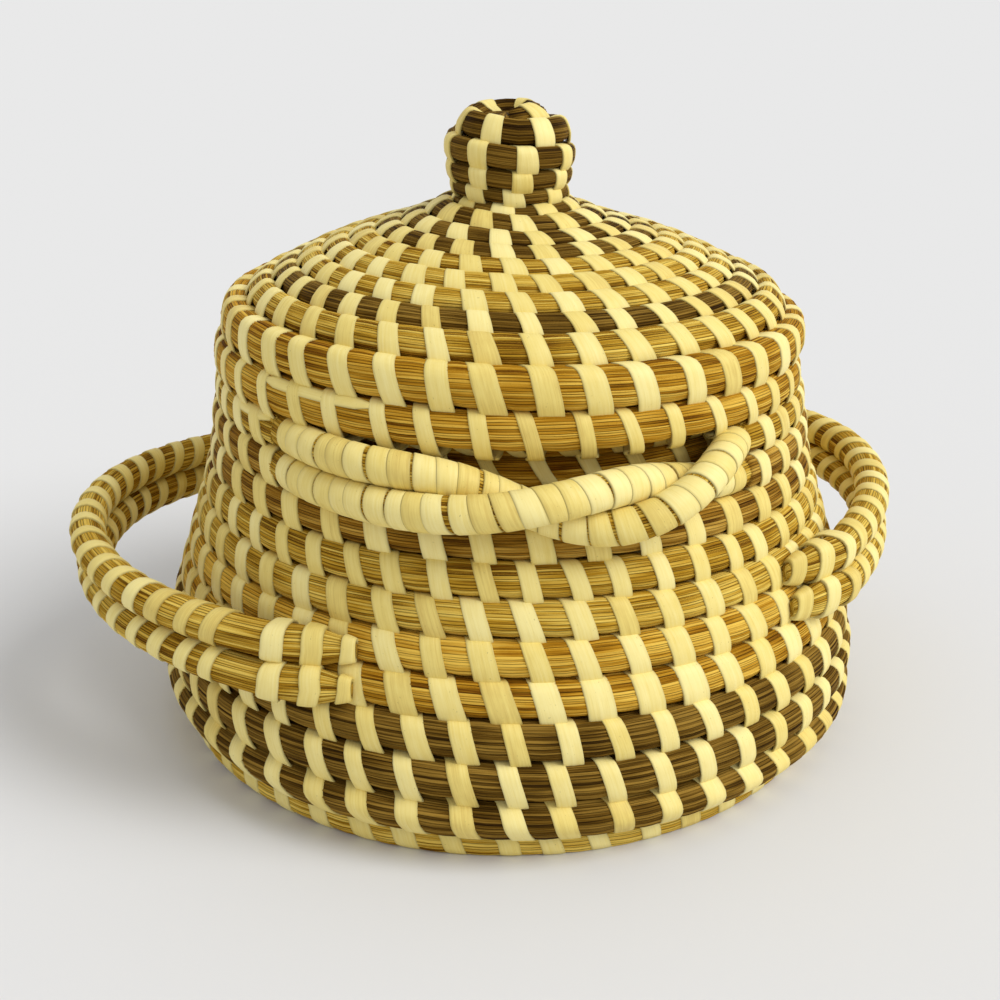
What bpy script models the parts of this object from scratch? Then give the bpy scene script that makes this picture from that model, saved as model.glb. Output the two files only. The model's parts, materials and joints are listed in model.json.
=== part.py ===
"""Coiled grass basket with a lid, two ear handles and a twisted band at the neck.

The basket stands on +Z up, with its front towards -Y and its handles on -X and +X. The origin is the
middle of the flat underside. Every row of the wall is one turn of a grass bundle that winds up clockwise,
seen from above, and each row is sewn to the row one turn before it. A heading is an angle round the
upright axis, zero at the front and growing towards +X, so it falls as the bundle climbs. Turns are
counted from the front: on the body, turn 0 is the golden foot row and turn 8 the neck row; on the lid,
turn 0 is the lowest edge row, which rests on the rim. A lean is the direction in which a row lies from
the row before it, in degrees: 0 is straight out, 90 straight up and 180 straight in.
"""
import math
from collections import namedtuple

import bmesh
import bpy
from mathutils import Vector

MM = 0.001
DEG = math.pi / 180
TURN = 2 * math.pi

# Facets of the tubes
STEPS = 24
COARSE_RADIUS = 90 * MM
BASE_COARSE_RADIUS = 115 * MM
LEAST_STEP_SHARE = 0.25
COIL_SIDES = 6
CORD_SIDES = 6
SHARP_ANGLE = 70 * DEG

# Clearances
SEWN_GAP = 0.5 * MM
END_GAP = 0.3 * MM
SEAT_GAP = 0.4 * MM
TIP_GAP = 2 * MM
KNOT_CLEARANCE = 0.1 * MM

# Base and wall
FOOT_RADIUS = 117 * MM
BASE_BUNDLE = 13.3 * MM
RIM_BUNDLE = 10.6 * MM
START_LOOP_RADIUS = 15 * MM
FLOOR_CUT_SHARE = 0.1
KNOT_SIDES = 12
KNOT_BEVEL = 1.5 * MM
BODY_LEANS = (0, 55, 94, 101, 107, 107, 107, 107, 106, 96, 100, 96)
BASE_END_TURN = -0.5
FOOT_END_TURN = 0.5
BELLY_END_TURN = 3.5
BAND_END_TURN = 5.5
UPPER_WALL_END_TURN = 7.5
NECK_END_TURN = 8.625
LOWER_RIM_TURN = 9
UPPER_RIM_TURN = 10
BODY_END_TURN = 10.75

# Ends of bundles
FIRST_TIP_SHARE = 0.4
SECOND_TIP_SHARE = 0.75

# Twisted band
TWIST_CENTRE = -8 * DEG
TWIST_HALF_SPAN = 46 * DEG
TWIST_STEPS = 18
TWIST_BULGE = 15.5 * MM
TWIST_DROP = 1 * MM
TWIST_CLEARANCE = 0.3 * MM
TWIST_START_SHARE = 0.2
TWIST_END_SHARE = 1.2
TWIST_UPPER_SHARE = 0.7
BACK_TWIST_TURN = 0.5

# Handles
HANDLE_BUNDLE = 11.8 * MM
HANDLE_TIP_BUNDLE = 4 * MM
HANDLE_TAIL = 12 * DEG
HANDLE_STEP = TURN / STEPS / 2
HANDLE_ARCH_POWER = 1.9
HANDLE_TUCK = 5 * MM
HANDLE_LIFT = 13 * MM
LEFT_HANDLE_CENTRE = -88 * DEG
LEFT_HANDLE_HALF_SPAN = 57 * DEG
LEFT_FINGER_GAP = 30 * MM
LEFT_HANDLE_ROW = 5
RIGHT_HANDLE_CENTRE = 97 * DEG
RIGHT_HANDLE_HALF_SPAN = 55 * DEG
RIGHT_FINGER_GAP = 17 * MM
RIGHT_HANDLE_ROW = 6

# Lid
LID_START_TURN = -0.25
EDGE_BUNDLE = 12.6 * MM
CROWN_BUNDLE = 9.2 * MM
EDGE_FULL_TURN = 0.1
EDGE_END_TURN = 1.2
CROWN_START_TURN = 2.6
SEAT_LEAN = 97
LID_LEANS = (103, 94, 140, 151, 154, 157, 161, 164, 163, 157)
EDGE_ROWS_END_TURN = 1.5
OUTER_CROWN_END_TURN = 2.5
DARK_RING_END_TURN = 3.5
COLLAR_TURNS = 2.75
KNOB_FOOT_RADIUS = 24 * MM
KNOB_EYE_RADIUS = 5.6 * MM
KNOB_SEWN_GAP = 0.7 * MM
KNOB_NECK_BUNDLE = 4.6 * MM
KNOB_TOP_BUNDLE = 8.6 * MM
KNOB_NECK_TURNS = 2
KNOB_FULL_TURNS = 4.5
KNOB_LEANS = (156, 146, 78, 84, 92, 128, 174)
KNOB_CAP_TURNS = 3.5

# Flange inside the rim
FLANGE_BUNDLE = 10 * MM
FLANGE_LEAN = 214
FLANGE_DROP_LEAN = 264
FLANGE_TURNS = 3
FLANGE_SEWN_GAP = 0.3 * MM

# Colours and finish of the bundles
GOLDEN = (0.45, 0.25, 0.06)
AMBER = (0.42, 0.19, 0.04)
RUSSET = (0.26, 0.13, 0.045)
DARK = (0.13, 0.075, 0.04)
STRIP = (0.78, 0.66, 0.33)
GRASS_ROUGHNESS = 0.6

Section = namedtuple("Section", "radius height bundle lean")
Station = namedtuple("Station", "point way bundle lean")


def clear_scene():
    for old in list(bpy.data.objects):
        bpy.data.objects.remove(old)


def grass(name, colour):
    surface = bpy.data.materials.new(name)
    surface.use_nodes = True
    shader = surface.node_tree.nodes["Principled BSDF"]
    shader.inputs["Base Color"].default_value = (*colour, 1)
    shader.inputs["Roughness"].default_value = GRASS_ROUGHNESS
    shader.inputs["Metallic"].default_value = 0
    return surface


def between(low, high, share):
    return low + (high - low) * min(max(share, 0), 1)


def read_off(table, place):
    """The table's value at a place between its rows, on a straight line."""
    row = min(int(place), len(table) - 2)
    return between(table[row], table[row + 1], place - row)


def spot(heading, radius, height):
    return Vector((radius * math.sin(heading), -radius * math.cos(heading), height))


def beside(section, distance, lean):
    """Radius and height of the point at a distance and a lean from a section's middle."""
    radius = section.radius + distance * math.cos(lean * DEG)
    height = section.height + distance * math.sin(lean * DEG)
    return radius, height


def sewn_to(section, bundle, lean, gap=SEWN_GAP):
    """The section of a bundle that lies beside another one, with a gap between them."""
    distance = (section.bundle + bundle) / 2 + gap
    return Section(*beside(section, distance, lean), bundle, lean)


def body_bundle(turn):
    return between(BASE_BUNDLE, RIM_BUNDLE, turn / UPPER_RIM_TURN)


def base_steps():
    """Steps of the flat spiral from its start loop to the foot row."""
    return int((FOOT_RADIUS - START_LOOP_RADIUS) / (BASE_BUNDLE + SEWN_GAP) * STEPS)


def wind_body():
    """Sections of the body's bundle by step: a flat spiral, then rows that each lean on the row below."""
    rows = {}
    height = BASE_BUNDLE / 2 - BASE_BUNDLE * FLOOR_CUT_SHARE
    for step in range(-base_steps(), round(BODY_END_TURN * STEPS) + 1):
        turn = step / STEPS
        if turn <= 0:
            radius = FOOT_RADIUS + turn * (BASE_BUNDLE + SEWN_GAP)
            rows[step] = Section(radius, height, BASE_BUNDLE, 0)
        else:
            rows[step] = sewn_to(rows[step - STEPS], body_bundle(turn), read_off(BODY_LEANS, turn))
    return rows


def lid_bundle(turn):
    """Bundle of the lid's rows: as the rim where they start, thick at the edge, thinner on the crown."""
    if turn < EDGE_FULL_TURN:
        share = (turn - LID_START_TURN) / (EDGE_FULL_TURN - LID_START_TURN)
        return between(RIM_BUNDLE, EDGE_BUNDLE, share)
    share = (turn - EDGE_END_TURN) / (CROWN_START_TURN - EDGE_END_TURN)
    return between(EDGE_BUNDLE, CROWN_BUNDLE, share)


def knob_bundle(turns_up):
    """Bundle of the knob's rows: it thins out above the crown, then thickens towards the top."""
    if turns_up < 1:
        return between(CROWN_BUNDLE, KNOB_NECK_BUNDLE, turns_up)
    share = (turns_up - KNOB_NECK_TURNS) / (KNOB_FULL_TURNS - KNOB_NECK_TURNS)
    return between(KNOB_NECK_BUNDLE, KNOB_TOP_BUNDLE, share)


def wind_lid(body):
    """Sections of the lid's bundle by step, and the turn at which the knob starts.

    The first turn rests on the rim. The rows then close in to the knob's foot, climb the knob and
    close over its top.
    """
    rows = {}
    first = round(LID_START_TURN * STEPS)
    for step in range(first, first + STEPS):
        rim = body[step + UPPER_RIM_TURN * STEPS]
        rows[step] = sewn_to(rim, lid_bundle(step / STEPS), SEAT_LEAN, SEAT_GAP)
    step = max(rows)
    while rows[step].radius > KNOB_FOOT_RADIUS or step % 2:
        step += 1
        turn = step / STEPS
        rows[step] = sewn_to(rows[step - STEPS], lid_bundle(turn), read_off(LID_LEANS, turn))
    foot = step
    while rows[step].radius > KNOB_EYE_RADIUS or step % 2:
        step += 1
        turns_up = (step - foot) / STEPS
        lean = read_off(KNOB_LEANS, turns_up)
        rows[step] = sewn_to(rows[step - STEPS], knob_bundle(turns_up), lean, KNOB_SEWN_GAP)
    return rows, foot / STEPS


def wind_flange(lid):
    """Sections of the flange's bundle by step: its top turn lies inside the lid's edge, the others below."""
    rows = {}
    last = round(LID_START_TURN * STEPS) + STEPS
    for step in range(last, last - FLANGE_TURNS * STEPS - 1, -1):
        if step > last - STEPS:
            rows[step] = sewn_to(lid[step], FLANGE_BUNDLE, FLANGE_LEAN, FLANGE_SEWN_GAP)
        else:
            rows[step] = sewn_to(rows[step + STEPS], FLANGE_BUNDLE, FLANGE_DROP_LEAN)
    return rows


def thin_end(rows, steps):
    """Thins the bundle out over its last steps and lays it on the row that it is sewn to."""
    for step, share in zip(steps, (FIRST_TIP_SHARE, SECOND_TIP_SHARE)):
        full = rows[step]
        place = beside(full, full.bundle * (share - 1) / 2, full.lean)
        rows[step] = Section(*place, full.bundle * share, full.lean)


def section_at(rows, turn):
    """The section at any turn, read between its two nearest steps."""
    step = min(math.floor(turn * STEPS), max(rows) - 1)
    share = turn * STEPS - step
    pairs = zip(rows[step], rows[step + 1])
    return Section(*(between(low, high, share) for low, high in pairs))


def step_point(rows, step):
    return spot(-step / STEPS * TURN, rows[step].radius, rows[step].height)


def station_at(rows, turn):
    """The station at any turn, on the straight run between its two nearest steps."""
    step = min(math.floor(turn * STEPS), max(rows) - 1)
    share = turn * STEPS - step
    section = section_at(rows, turn)
    point = step_point(rows, step).lerp(step_point(rows, step + 1), share)
    behind = step if share else max(step - 1, min(rows))
    way = (step_point(rows, step + 1) - step_point(rows, behind)).normalized()
    return Station(point, way, section.bundle, section.lean)


def stretch(rows, start, end, coarse_radius):
    """Stations of a coil from one turn to another: both ends, and the steps between them.

    Inside the coarse radius every other step is left out.
    """
    turns = [start]
    for step in range(math.floor(start * STEPS) + 1, math.ceil(end * STEPS)):
        from_end = min(step - start * STEPS, end * STEPS - step)
        skipped = step % 2 and rows[step].radius < coarse_radius
        if from_end > LEAST_STEP_SHARE and not skipped:
            turns.append(step / STEPS)
    turns.append(end)
    return [station_at(rows, turn) for turn in turns]


def with_end_gaps(stations, start_gap=END_GAP, end_gap=END_GAP):
    """The same run with each end drawn in by half the gap between pieces that meet end to end."""
    first, last = stations[0], stations[-1]
    stations[0] = first._replace(point=first.point + first.way * (start_gap / 2))
    stations[-1] = last._replace(point=last.point - last.way * (end_gap / 2))
    return stations


def free_run(places):
    """Stations of a bundle that leaves its row, from its points and bundles in order."""
    stations = []
    for index, (point, bundle) in enumerate(places):
        ahead = places[min(index + 1, len(places) - 1)][0]
        behind = places[max(index - 1, 0)][0]
        stations.append(Station(point, (ahead - behind).normalized(), bundle, 180 / CORD_SIDES))
    return stations


def twist_turned(share):
    """How much of its whole turn the twist has made, at a share of the way from its left end."""
    def eased(place):
        along = (place - TWIST_START_SHARE) / (TWIST_END_SHARE - TWIST_START_SHARE)
        along = min(max(along, 0), 1)
        return along * along * (3 - 2 * along)
    return eased(share) / eased(1)


def twist_roots(turns_back):
    """Turns at which the lower strand of a twist leaves the wall on the right and joins it on the left."""
    right_root = LOWER_RIM_TURN - (TWIST_CENTRE + TWIST_HALF_SPAN) / TURN + turns_back
    left_root = LOWER_RIM_TURN - (TWIST_CENTRE - TWIST_HALF_SPAN) / TURN + turns_back
    return right_root, left_root


def twist_strand(body, turns_back, upper):
    """Stations of one of the two rim rows where they leave the wall and twist once round each other."""
    right_root, left_root = twist_roots(turns_back)
    own_row = UPPER_RIM_TURN - LOWER_RIM_TURN if upper else 0
    places = []
    for index in range(TWIST_STEPS + 1):
        turn = between(right_root, left_root, index / TWIST_STEPS)
        share = 1 - index / TWIST_STEPS
        low = section_at(body, turn)
        high = section_at(body, turn + 1)
        rise = high.height - low.height
        run = high.radius - low.radius
        arch = math.sin(math.pi * share)
        apart = math.hypot(rise, run) + 2 * TWIST_CLEARANCE * arch
        spread = apart * between(0.5, TWIST_UPPER_SHARE if upper else 1 - TWIST_UPPER_SHARE, arch)
        angle = math.atan2(rise, run) + TURN * twist_turned(share)
        if not upper:
            angle += math.pi
        radius = (low.radius + high.radius) / 2 + TWIST_BULGE * arch + spread * math.cos(angle)
        height = (low.height + high.height) / 2 - TWIST_DROP * arch + spread * math.sin(angle)
        own = high if upper else low
        places.append((spot(-turn * TURN, radius, height), own.bundle))
    stations = free_run(places)
    for index, turn in ((0, right_root), (-1, left_root)):
        root = station_at(body, turn + own_row)
        stations[index] = stations[index]._replace(point=root.point, way=root.way)
    return stations


def wall_face(body, turn):
    """Radius of a wall row's outer face at a turn, on the facets of its tube."""
    station = station_at(body, turn)
    middle = math.hypot(station.point.x, station.point.y)
    facet = 360 / COIL_SIDES
    from_flat = -station.lean % facet - facet / 2
    return middle + station.bundle / 2 * math.cos(facet / 2 * DEG) / math.cos(from_flat * DEG)


def handle_offsets(centre, half_span, row):
    """Places along a handle, from its middle: both ends and every half step of the wall between them."""
    offsets = [-half_span]
    first = math.ceil((row * TURN - centre - half_span) / HANDLE_STEP)
    last = math.floor((row * TURN - centre + half_span) / HANDLE_STEP)
    for index in range(last, first - 1, -1):
        offset = row * TURN - index * HANDLE_STEP - centre
        if half_span - abs(offset) > LEAST_STEP_SHARE * HANDLE_STEP:
            offsets.append(offset)
    offsets.append(half_span)
    return offsets


def handle_runs(body, centre, half_span, row, finger_gap):
    """Stations of a handle's upper and lower bundle, which leave their wall rows and come back to them."""
    upper_places = []
    lower_places = []
    for offset in handle_offsets(centre, half_span, row):
        heading = centre + offset
        turn = row - heading / TURN
        bundle = between(HANDLE_TIP_BUNDLE, HANDLE_BUNDLE, (half_span - abs(offset)) / HANDLE_TAIL)
        arch = max(math.cos(offset / half_span * math.pi / 2), 0) ** HANDLE_ARCH_POWER
        lift = HANDLE_LIFT * arch * (1 - math.cos(heading)) / 2
        seat = SEWN_GAP + bundle / 2 * math.cos(math.pi / CORD_SIDES)
        upper_radius = wall_face(body, turn) + seat + finger_gap * arch
        lower_radius = wall_face(body, turn - 1) + seat + (finger_gap - HANDLE_TUCK) * arch
        upper_height = section_at(body, turn).height + lift
        lower_height = section_at(body, turn - 1).height + lift
        across = upper_radius - lower_radius
        needed_rise = math.sqrt(max((bundle + SEWN_GAP) ** 2 - across * across, 0))
        spread = max(needed_rise - (upper_height - lower_height), 0) / 2
        upper_places.append((spot(heading, upper_radius, upper_height + spread), bundle))
        lower_places.append((spot(heading, lower_radius, lower_height - spread), bundle))
    return free_run(upper_places), free_run(lower_places)


def tube(name, stations, sides, colour):
    """One closed tube along the stations, with a corner of each section turned to its lean."""
    mesh = bmesh.new()
    rings = []
    for station in stations:
        outward = station.way.cross(Vector((0, 0, 1))).normalized()
        if outward.dot(station.point) < 0:
            outward.negate()
        upward = outward.cross(station.way)
        if upward.z < 0:
            upward.negate()
        ring = []
        for corner in range(sides):
            angle = station.lean * DEG + corner * TURN / sides
            reach = outward * math.cos(angle) + upward * math.sin(angle)
            place = station.point + reach * (station.bundle / 2)
            place.z = max(place.z, 0)
            ring.append(mesh.verts.new(place))
        rings.append(ring)
    for ring, following in zip(rings, rings[1:]):
        for corner in range(sides):
            near = (corner + 1) % sides
            mesh.faces.new((ring[corner], ring[near], following[near], following[corner]))
    mesh.faces.new(rings[0])
    mesh.faces.new(rings[-1])
    bmesh.ops.recalc_face_normals(mesh, faces=mesh.faces)
    return placed(name, mesh, colour)


def placed(name, mesh, colour):
    data = bpy.data.meshes.new(name)
    mesh.to_mesh(data)
    mesh.free()
    data.shade_smooth()
    data.set_sharp_from_angle(angle=SHARP_ANGLE)
    data.materials.append(grass(name, colour))
    piece = bpy.data.objects.new(name, data)
    bpy.context.collection.objects.link(piece)
    return piece


def coil(name, rows, start, end, colour, start_gap=END_GAP, end_gap=END_GAP, coarse_radius=COARSE_RADIUS):
    """One stretch of a wound bundle as a tube, with its least gap to itself printed."""
    stations = with_end_gaps(stretch(rows, start, end, coarse_radius), start_gap, end_gap)
    if end - start > 1:
        print(name, "least gap to itself, mm:", round(least_gap(rows, start, end) / MM, 2))
    return tube(name, stations, COIL_SIDES, colour)


def least_gap(rows, start, end):
    """Least gap between the bundle's own turns, over all pairs of points half a turn or more apart."""
    steps = range(math.ceil(start * STEPS), math.floor(end * STEPS) + 1)
    least = math.inf
    for step in steps:
        for other in range(step + STEPS // 2, steps[-1] + 1):
            apart = (step_point(rows, step) - step_point(rows, other)).length
            least = min(least, apart - (rows[step].bundle + rows[other].bundle) / 2)
    return least


def start_knot(body):
    """The knot in the middle of the base that the flat spiral is wound round."""
    first = body[min(body)]
    inner = (first.radius - first.bundle / 2) * math.cos(TURN / STEPS)
    radius = inner - KNOT_CLEARANCE
    height = first.height + first.bundle / 2
    mesh = bmesh.new()
    bmesh.ops.create_cone(
        mesh,
        cap_ends=True,
        segments=KNOT_SIDES,
        radius1=radius,
        radius2=radius,
        depth=height,
    )
    bmesh.ops.translate(mesh, verts=mesh.verts, vec=Vector((0, 0, height / 2)))
    top_edges = [edge for edge in mesh.edges if all(vert.co.z > height / 2 for vert in edge.verts)]
    bmesh.ops.bevel(mesh, geom=top_edges, offset=KNOT_BEVEL, segments=1, affect="EDGES")
    return placed("base_start_knot", mesh, GOLDEN)


def body_coils(body):
    """The base and the wall up to the neck, one node for each change of colour."""
    coil("base_coil", body, min(body) / STEPS, BASE_END_TURN, GOLDEN, coarse_radius=BASE_COARSE_RADIUS)
    coil("foot_coil", body, BASE_END_TURN, FOOT_END_TURN, GOLDEN)
    coil("dark_belly_coil", body, FOOT_END_TURN, BELLY_END_TURN, DARK)
    coil("handle_band_coil", body, BELLY_END_TURN, BAND_END_TURN, AMBER)
    coil("upper_wall_coil", body, BAND_END_TURN, UPPER_WALL_END_TURN, GOLDEN)


def cord(name, stations, colour):
    return tube(name, with_end_gaps(stations), CORD_SIDES, colour)


def rim_rows(body):
    """The neck and the two rim rows, which are sewn to the wall at the sides and twisted in between."""
    front_right, front_left = twist_roots(0)
    back_right, back_left = twist_roots(BACK_TWIST_TURN)
    coil("neck_coil", body, UPPER_WALL_END_TURN, NECK_END_TURN, RUSSET)
    coil("right_lower_rim_coil", body, NECK_END_TURN, front_right, RUSSET)
    cord("front_lower_strand", twist_strand(body, 0, False), STRIP)
    coil("left_lower_rim_coil", body, front_left, back_right, RUSSET)
    cord("back_lower_strand", twist_strand(body, BACK_TWIST_TURN, False), STRIP)
    coil("right_upper_rim_coil", body, back_left, front_right + 1, GOLDEN)
    cord("front_upper_strand", twist_strand(body, 0, True), STRIP)
    coil("left_upper_rim_coil", body, front_left + 1, back_right + 1, GOLDEN)
    cord("back_upper_strand", twist_strand(body, BACK_TWIST_TURN, True), STRIP)
    coil("rim_end_coil", body, back_left + 1, BODY_END_TURN, GOLDEN, end_gap=TIP_GAP)


def handles(body):
    """Two ear handles of two bundles each, the lower one tucked in under the upper one."""
    sides = (
        ("left", LEFT_HANDLE_CENTRE, LEFT_HANDLE_HALF_SPAN, LEFT_HANDLE_ROW, LEFT_FINGER_GAP),
        ("right", RIGHT_HANDLE_CENTRE, RIGHT_HANDLE_HALF_SPAN, RIGHT_HANDLE_ROW, RIGHT_FINGER_GAP),
    )
    for side, centre, half_span, row, gap in sides:
        upper, lower = handle_runs(body, centre, half_span, row, gap)
        tube(f"{side}_handle_upper_coil", upper, CORD_SIDES, RUSSET)
        tube(f"{side}_handle_lower_coil", lower, CORD_SIDES, RUSSET)


def lid_coils(lid, flange, knob_start):
    """The lid from its edge to the top of the knob, and the flange that keeps it on the rim."""
    collar_start = knob_start - COLLAR_TURNS
    cap_start = knob_start + KNOB_CAP_TURNS
    coil("lid_flange_coil", flange, min(flange) / STEPS, max(flange) / STEPS, AMBER)
    coil("lid_edge_coil", lid, LID_START_TURN, EDGE_ROWS_END_TURN, AMBER, start_gap=TIP_GAP)
    coil("outer_crown_coil", lid, EDGE_ROWS_END_TURN, OUTER_CROWN_END_TURN, GOLDEN)
    coil("dark_ring_coil", lid, OUTER_CROWN_END_TURN, DARK_RING_END_TURN, DARK)
    coil("inner_crown_coil", lid, DARK_RING_END_TURN, collar_start, GOLDEN)
    coil("dark_collar_coil", lid, collar_start, knob_start, DARK)
    coil("knob_coil", lid, knob_start, cap_start, DARK)
    coil("knob_cap_coil", lid, cap_start, max(lid) / STEPS, DARK)


def main():
    clear_scene()
    body = wind_body()
    lid, knob_start = wind_lid(body)
    flange = wind_flange(lid)
    thin_end(body, (max(body), max(body) - 1))
    thin_end(lid, (min(lid), min(lid) + 1))
    start_knot(body)
    body_coils(body)
    rim_rows(body)
    handles(body)
    lid_coils(lid, flange, knob_start)


main()
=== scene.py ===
"""Looks of the coiled grass basket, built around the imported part.

Every bundle follows the part's own winding rules in finer steps: a flat spiral, rows that each lean on the
row below, two rim rows twisted round each other at the front and the back, two handles of two bundles, and
a lid wound from its edge to the top of its knob. A bundle is a ring of stems with grooves between them,
and the strips that sew it are helical bands round it. Lengths are in metres, turns are counted from the
front, and a heading is an angle round the upright axis, zero at the front and growing towards +X. A lean is
the direction from a row to the next one, in degrees from straight outwards.
"""
import json
import math
from collections import namedtuple

import bpy
import numpy as np
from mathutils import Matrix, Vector

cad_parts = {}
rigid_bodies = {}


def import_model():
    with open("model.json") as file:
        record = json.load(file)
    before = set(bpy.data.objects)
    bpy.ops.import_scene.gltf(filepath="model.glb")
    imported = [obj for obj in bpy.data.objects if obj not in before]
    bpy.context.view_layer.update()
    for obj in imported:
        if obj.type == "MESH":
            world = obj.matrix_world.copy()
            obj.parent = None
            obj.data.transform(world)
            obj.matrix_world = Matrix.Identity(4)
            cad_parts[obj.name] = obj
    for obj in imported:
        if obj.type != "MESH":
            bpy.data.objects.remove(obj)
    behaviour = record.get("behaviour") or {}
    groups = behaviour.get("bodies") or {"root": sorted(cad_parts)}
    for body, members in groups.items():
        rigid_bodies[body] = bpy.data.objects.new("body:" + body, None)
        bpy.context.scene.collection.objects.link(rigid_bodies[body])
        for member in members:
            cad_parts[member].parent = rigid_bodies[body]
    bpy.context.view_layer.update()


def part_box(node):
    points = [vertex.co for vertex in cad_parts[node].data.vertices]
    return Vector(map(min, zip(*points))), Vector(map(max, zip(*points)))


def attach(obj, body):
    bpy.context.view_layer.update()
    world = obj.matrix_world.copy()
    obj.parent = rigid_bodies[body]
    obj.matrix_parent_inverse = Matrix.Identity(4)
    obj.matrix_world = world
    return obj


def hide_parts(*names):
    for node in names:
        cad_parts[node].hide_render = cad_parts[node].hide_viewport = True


MM = 0.001
DEG = math.pi / 180
TURN = 2 * math.pi

Section = namedtuple("Section", "radius height bundle lean")
Run = namedtuple("Run", "turn point out up bundle lean length facing")
Look = namedtuple("Look", "slot grass strip")
Noise = namedtuple("Noise", "across along detail roughness")
Finish = namedtuple("Finish", "roughness bump_strength bump_depth specular")

# Winding of the basket, as in the part but for its finer steps
STEPS = 96
CAD_STEPS = 24
SEWN_GAP = 0.5 * MM
SEAT_GAP = 0.4 * MM
FOOT_RADIUS = 117 * MM
BASE_BUNDLE = 13.3 * MM
RIM_BUNDLE = 10.6 * MM
START_LOOP_RADIUS = 15 * MM
FLOOR_CUT_SHARE = 0.1
UPRIGHT = 90
BODY_LEANS = (0, 55, 94, 101, 107, 107, 107, 107, 106, 96, 100, 96)
BASE_END_TURN = -0.5
FOOT_END_TURN = 0.5
BELLY_END_TURN = 3.5
BAND_END_TURN = 5.5
UPPER_WALL_END_TURN = 7.5
NECK_END_TURN = 8.625
LOWER_RIM_TURN = 9
UPPER_RIM_TURN = 10
BODY_END_TURN = 10.75
FIRST_TIP_SHARE = 0.4
SECOND_TIP_SHARE = 0.75

# Twists of the two rim rows, as in the part
TWIST_CENTRE = -8 * DEG
TWIST_HALF_SPAN = 46 * DEG
TWIST_BULGE = 15.5 * MM
TWIST_DROP = 1 * MM
TWIST_CLEARANCE = 0.3 * MM
TWIST_START_SHARE = 0.2
TWIST_END_SHARE = 1.2
TWIST_UPPER_SHARE = 0.7
BACK_TWIST_TURN = 0.5

# Handles, as in the part: each with its heading, half span, row of its upper bundle and finger gap
HANDLE_BUNDLE = 11.8 * MM
HANDLE_TIP_BUNDLE = 4 * MM
HANDLE_TAIL = 12 * DEG
HANDLE_ARCH_POWER = 1.9
HANDLE_TUCK = 5 * MM
HANDLE_LIFT = 13 * MM
LEFT_HANDLE = ("left", -88 * DEG, 57 * DEG, 5, 30 * MM)
RIGHT_HANDLE = ("right", 97 * DEG, 55 * DEG, 6, 17 * MM)
# How far their ends are flattened against the wall, which the part leaves out
HANDLE_TIP_TALL_SHARE = 2.3
HANDLE_END = 5 * DEG
HANDLE_END_SHARE = 0.65

# Winding of the lid and its knob, as in the part
LID_START_TURN = -0.25
EDGE_BUNDLE = 12.6 * MM
CROWN_BUNDLE = 9.2 * MM
EDGE_FULL_TURN = 0.1
EDGE_END_TURN = 1.2
CROWN_START_TURN = 2.6
SEAT_LEAN = 97
LID_LEANS = (103, 94, 140, 151, 154, 157, 161, 164, 163, 157)
EDGE_ROWS_END_TURN = 1.5
OUTER_CROWN_END_TURN = 2.5
DARK_RING_END_TURN = 3.5
COLLAR_TURNS = 2.75
KNOB_FOOT_RADIUS = 24 * MM
KNOB_EYE_RADIUS = 5.6 * MM
KNOB_SEWN_GAP = 0.7 * MM
KNOB_NECK_BUNDLE = 4.6 * MM
KNOB_TOP_BUNDLE = 8.6 * MM
KNOB_NECK_TURNS = 2
KNOB_FULL_TURNS = 4.5
KNOB_LEANS = (156, 146, 78, 84, 92, 128, 174)
KNOB_CAP_TURNS = 3.5

# Winding of the flange, as in the part
FLANGE_BUNDLE = 10 * MM
FLANGE_LEAN = 214
FLANGE_DROP_LEAN = 264
FLANGE_TURNS = 3
FLANGE_SEWN_GAP = 0.3 * MM

# Stems of a bundle
STEMS = 40
STEM_WIDTHS = (0.6, 1.4)
RING_SPACING = 2.6 * MM
HIDDEN_RING_SPACING = 5 * MM
LEAST_FACES_ALONG = 4
SQUARENESS = 3
STEM_GROOVE_SHARE = 0.045
STEM_LIFT_SHARE = 0.025
STEM_WAVE = 47 * MM
LEAST_WAVE_SHARE = 0.5
STEM_WANDER = 0.09
STEM_WANDER_WAVE = 130 * MM
PINCH_SHARE = 0.03
# The flattened stems under the base stay above the strips, which lie on the floor
UNDERSIDE_LIFT = 0.3 * MM

# Strips that sew the rows: across and up from the stems, as shares of width and thickness
STRIP_OUTLINE_SHARES = (
    (-0.5, -0.6), (-0.5, 0.55), (-0.46, 0.82), (-0.38, 0.92), (0, 1),
    (0.38, 0.92), (0.46, 0.82), (0.5, 0.55), (0.5, -0.6),
)
WRAP_OUTLINE_SHARES = (
    (-0.5, -0.4), (-0.5, 0.75), (-0.42, 0.95), (0, 1.15), (0.44, 1.3), (0.5, 1.1), (0.5, -0.4),
)
STRIP_THICKNESS = 0.55 * MM
STRIP_HALF_DEGREES = (0, 15, 22, 28, 35, 45, 57, 70, 84, 98, 112, 127, 143, 161)
DIVE_DEGREES = (0, 20, 29, 45, 58)
DIVE_SHARES = (1.5, 1.46, 1.37, 1.19, 1.1)
# Shares of a strip's way round, which starts at the seam, passes the outside and comes back inside
OUTER_MIDDLE = 0.25
HALF_WAY = 0.5
STRIP_LEAN = 5.5 * MM
CROWN_LEAN = 4.5 * MM
KNOB_LEAN = 1.2 * MM
STRIP_SHIFT = 0.9 * MM
STRIP_CURL = 0.14
WIDTH_JITTER = 0.1
LEAN_JITTER = 0.3

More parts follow.
